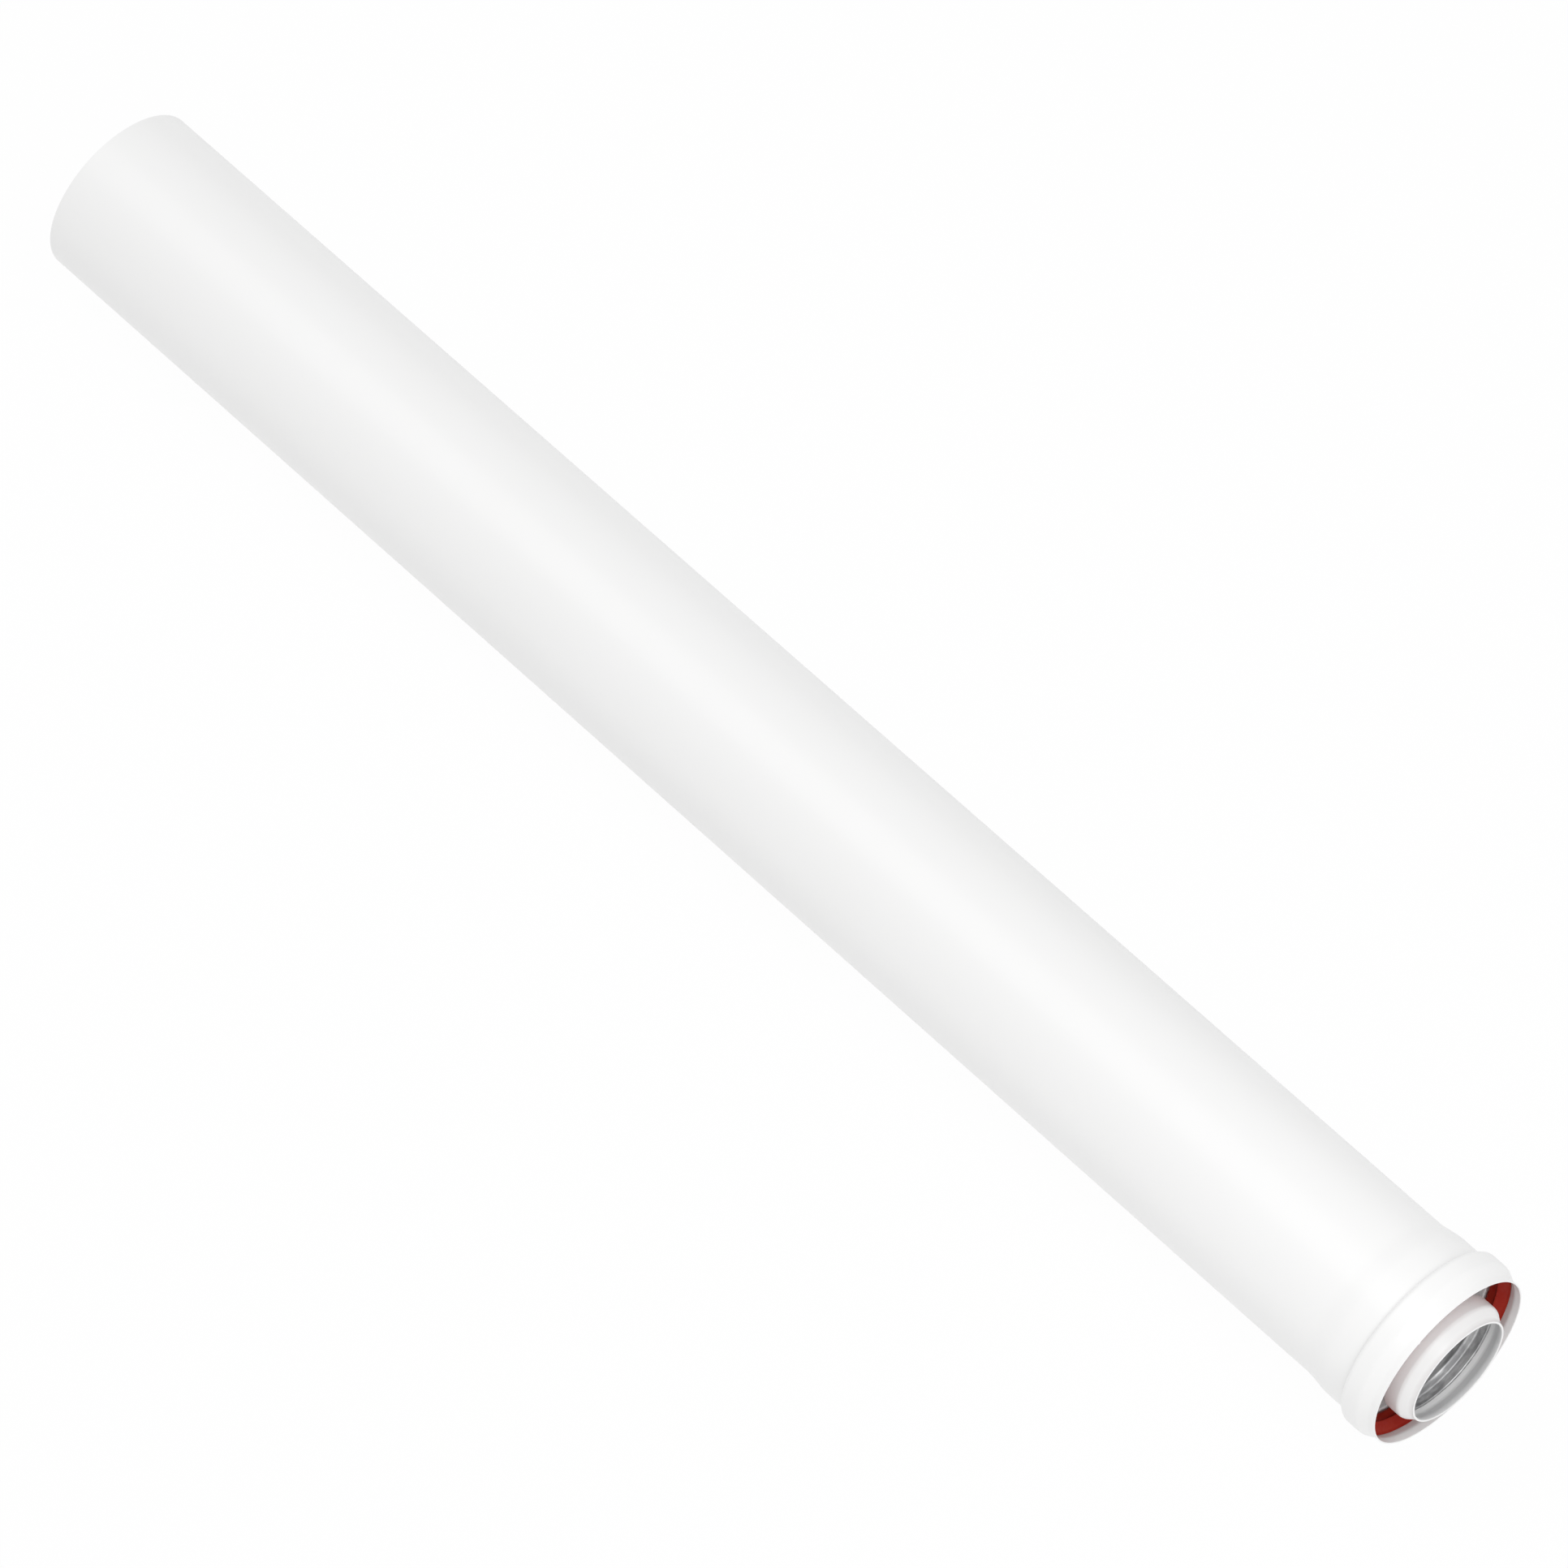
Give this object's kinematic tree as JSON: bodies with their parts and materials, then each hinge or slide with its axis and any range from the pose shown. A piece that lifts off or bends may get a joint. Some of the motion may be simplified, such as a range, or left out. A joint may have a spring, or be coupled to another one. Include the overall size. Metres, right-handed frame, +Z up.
{
  "type": "coaxial flue extension",
  "caption": "Straight coaxial boiler flue pipe: an inner flue tube held centred in an outer air tube, with beaded sockets at one end and plain spigots at the other.",
  "frame": {"origin": "on the floor, under the middle of the whole length", "axes": "+X along the flue's axis towards the sockets, +Z up; the piece lies on its side"},
  "size_m": [1.0076, 0.111, 0.111],
  "materials": {
    "white_coated_steel": "white powder coat, satin",
    "part_coated_aluminium": "white powder coat outside and on the lip, bare drawn aluminium inside",
    "red_silicone": "matte silicone",
    "spring_strip": "plain stainless strip"
  },
  "bodies": {
    "root": {"outer_tube": "white_coated_steel", "inner_tube": "part_coated_aluminium", "outer_socket_seal": "red_silicone", "centring_spacer_1": "spring_strip", "centring_spacer_2": "spring_strip"}
  },
  "joints": []
}
